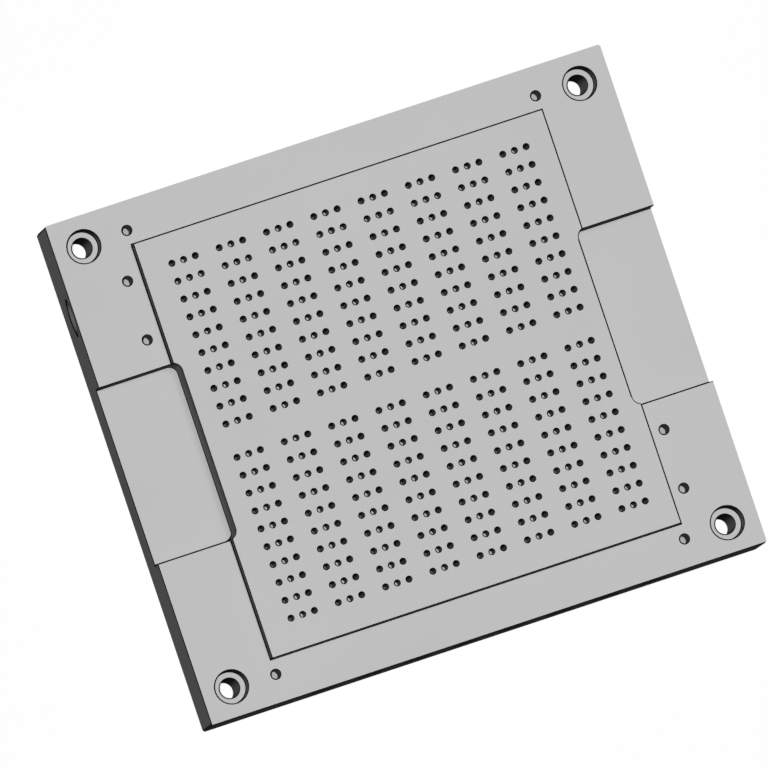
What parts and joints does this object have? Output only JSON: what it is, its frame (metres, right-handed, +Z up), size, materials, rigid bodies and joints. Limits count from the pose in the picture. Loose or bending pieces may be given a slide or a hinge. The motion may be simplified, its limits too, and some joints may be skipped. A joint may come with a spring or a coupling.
{
  "type": "vacuum table",
  "caption": "Flat machined vacuum table: a raised pad drilled with suction holes over plugged galleries, a side port, clamp pockets and counterbored corner bolt holes.",
  "frame": {"origin": "middle of the underside, on the surface the table is bolted to", "axes": "+X along the longer side away from the port, +Y to the back, away from the plugged face, +Z up out of the pad"},
  "size_m": [0.25, 0.2234, 0.046],
  "materials": {
    "plate_aluminium": "fine machined",
    "plug_steel": "satin zinc plated"
  },
  "bodies": {
    "root": {"table_plate": "plate_aluminium", "gallery_plug_1": "plug_steel", "gallery_plug_2": "plug_steel", "gallery_plug_3": "plug_steel", "gallery_plug_4": "plug_steel", "gallery_plug_5": "plug_steel", "gallery_plug_6": "plug_steel", "gallery_plug_7": "plug_steel", "gallery_plug_8": "plug_steel"}
  },
  "joints": []
}
